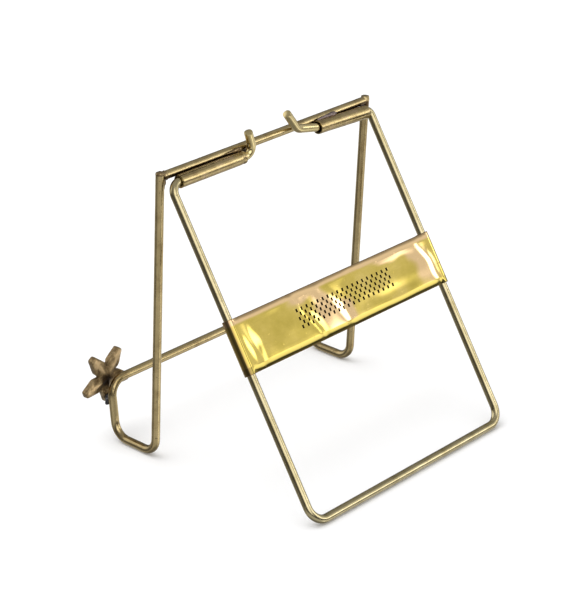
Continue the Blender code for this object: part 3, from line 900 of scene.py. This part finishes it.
solderRun("star_solder_lump", "star_solder", (
    (middle + Vector((0.1, 0.1, 0.0)) * mm, (1.5, 0.9, 1.5)),
    (middle + Vector((0.5, 0.1, -1.1)) * mm, (1.0, 0.8, 0.9)),
    (middle + Vector((-0.3, -0.1, 1.2)) * mm, (1.4, 0.9, 1.0)),
), solderDarkAndShade, lump=0.25)

print("stage: floor, light and camera")
studio = {
    "floorSize": 3.0,
    "floorColour": (0.93, 0.93, 0.935, 1.0),
    "floorRoughness": 0.9,
    "floorShine": 0.1,
    "ambient": 0.90,
    "key": {"power": 6.0, "size": 1.1, "place": Vector((0.25, -0.35, 1.1))},
    # what the metal mirrors: the ray's height where a change starts and ends, and the strength at each
    "sky": (0.05, 1.0, 0.10, 0.50),
    "table": (-0.12, -0.34, 0.0, 0.54),
    "underStand": (-0.72, -0.88, 1.0, 0.3),          # the table is dark straight under the stand
    # soft lights: direction, the angles within which they are full and beyond which they are gone, strength
    "dimTable": ((0.75, -0.66, -0.15), 18.0, 42.0, 0.8),
    "softboxes": (
        ((0.28, 0.79, 0.54), 16.0, 38.0, 1.75),      # large one behind the stand
        ((-0.66, 0.60, 0.44), 10.0, 24.0, 0.60),     # over the name plate
        ((-0.67, 0.72, 0.15), 5.0, 13.0, 2.6),       # low, for the bright lines along the bars
        ((-0.83, 0.48, 0.29), 2.0, 7.0, 3.6),        # two narrow ones beside it
        ((-0.51, 0.79, 0.35), 2.0, 6.5, 3.2),
        ((-0.36, 0.76, -0.54), 3.0, 10.0, 1.4),      # two bright places on the table behind
        ((-0.60, 0.55, -0.58), 3.0, 9.0, 0.9),
        ((-0.98, 0.10, 0.00), 15.0, 42.0, 0.45),     # far off to the left
        ((0.35, -0.86, 0.36), 16.0, 38.0, 1.2),      # in front
    ),
    "mirroredColour": (1.0, 0.985, 0.95, 1.0),
    "azimuth": math.radians(132.60),
    "elevation": math.radians(24.56),
    "distance": 738.0 * mm,
    "target": Vector((0.0, -2.9 * mm, 51.5 * mm)),
    "lens": 132.83,
}
white = (1.0, 1.0, 1.0, 1.0)
floorMesh = bmesh.new()
bmesh.ops.create_grid(floorMesh, x_segments=1, y_segments=1, size=studio["floorSize"])
floorData = bpy.data.meshes.new("floor")
floorMesh.to_mesh(floorData)
floorMesh.free()
floor = bpy.data.objects.new("floor", floorData)
bpy.context.scene.collection.objects.link(floor)
floorPaint = bpy.data.materials.new("floor_paint")
floorPaint.use_nodes = True
floorShader = floorPaint.node_tree.nodes["Principled BSDF"]
floorShader.inputs["Base Color"].default_value = studio["floorColour"]
floorShader.inputs["Roughness"].default_value = studio["floorRoughness"]
floorShader.inputs["Specular IOR Level"].default_value = studio["floorShine"]
floorData.materials.append(floorPaint)
floor.visible_glossy = False                         # the metal mirrors the studio's own table instead

world = bpy.data.worlds.new("studio")
world.use_nodes = True
bpy.context.scene.world = world
tree = world.node_tree
tree.nodes.clear()
toward = addNode(tree, "TexCoord").outputs["Generated"]
height = addNode(tree, "SeparateXYZ", {"Vector": toward}).outputs["Z"]


def band(value, start, end, before, after, kind="SMOOTHSTEP"):
    return addNode(tree, "MapRange", {"Value": value, "From Min": start, "From Max": end, "To Min": before,
                                      "To Max": after}, interpolation_type=kind).outputs["Result"]


def softbox(direction, near, far, strength):
    aim = Vector(direction).normalized()
    facing = addNode(tree, "VectorMath", {0: toward, 1: aim}, operation="DOT_PRODUCT").outputs["Value"]
    return band(facing, math.cos(math.radians(far)), math.cos(math.radians(near)), 0.0, strength)


below = band(height, *studio["table"])
lit = calculate(tree, "SUBTRACT", 1.0, softbox(*studio["dimTable"]))     # dim in front, to the right
for factor in (lit, band(height, *studio["underStand"])):
    below = calculate(tree, "MULTIPLY", below, factor)
glow = calculate(tree, "ADD", band(height, *studio["sky"], "LINEAR"), below)
for box in studio["softboxes"]:
    glow = calculate(tree, "ADD", glow, softbox(*box))
mirrored = addNode(tree, "Background", {"Strength": glow, "Color": studio["mirroredColour"]})
plain = addNode(tree, "Background", {"Strength": studio["ambient"], "Color": white})
seen = addNode(tree, "Background", {"Strength": 1.0, "Color": white})
path = addNode(tree, "LightPath")
unseen = addNode(tree, "MixShader", {0: path.outputs["Is Glossy Ray"], 1: plain.outputs[0],
                                     2: mirrored.outputs[0]})
either = addNode(tree, "MixShader", {0: path.outputs["Is Camera Ray"], 1: unseen.outputs[0],
                                     2: seen.outputs[0]})
addNode(tree, "OutputWorld", {"Surface": either.outputs[0]})

key = bpy.data.lights.new("key_light", "AREA")
key.shape = "DISK"
key.size = studio["key"]["size"]
key.energy = studio["key"]["power"]
keyObject = bpy.data.objects.new("key_light", key)
keyObject.location = studio["key"]["place"]
keyObject.rotation_euler = (-studio["key"]["place"]).to_track_quat("-Z", "Y").to_euler()
keyObject.visible_glossy = False
bpy.context.scene.collection.objects.link(keyObject)

camera = bpy.data.objects.new("camera", bpy.data.cameras.new("camera"))
camera.data.lens = studio["lens"]
camera.data.sensor_width = 36.0
camera.data.clip_start = 0.01
away = Vector((math.sin(studio["azimuth"]) * math.cos(studio["elevation"]),
               -math.cos(studio["azimuth"]) * math.cos(studio["elevation"]), math.sin(studio["elevation"])))
camera.location = studio["target"] + away * studio["distance"]
camera.rotation_euler = (-away).to_track_quat("-Z", "Y").to_euler()
bpy.context.scene.collection.objects.link(camera)
bpy.context.scene.camera = camera
bpy.context.scene.view_settings.view_transform = "Standard"
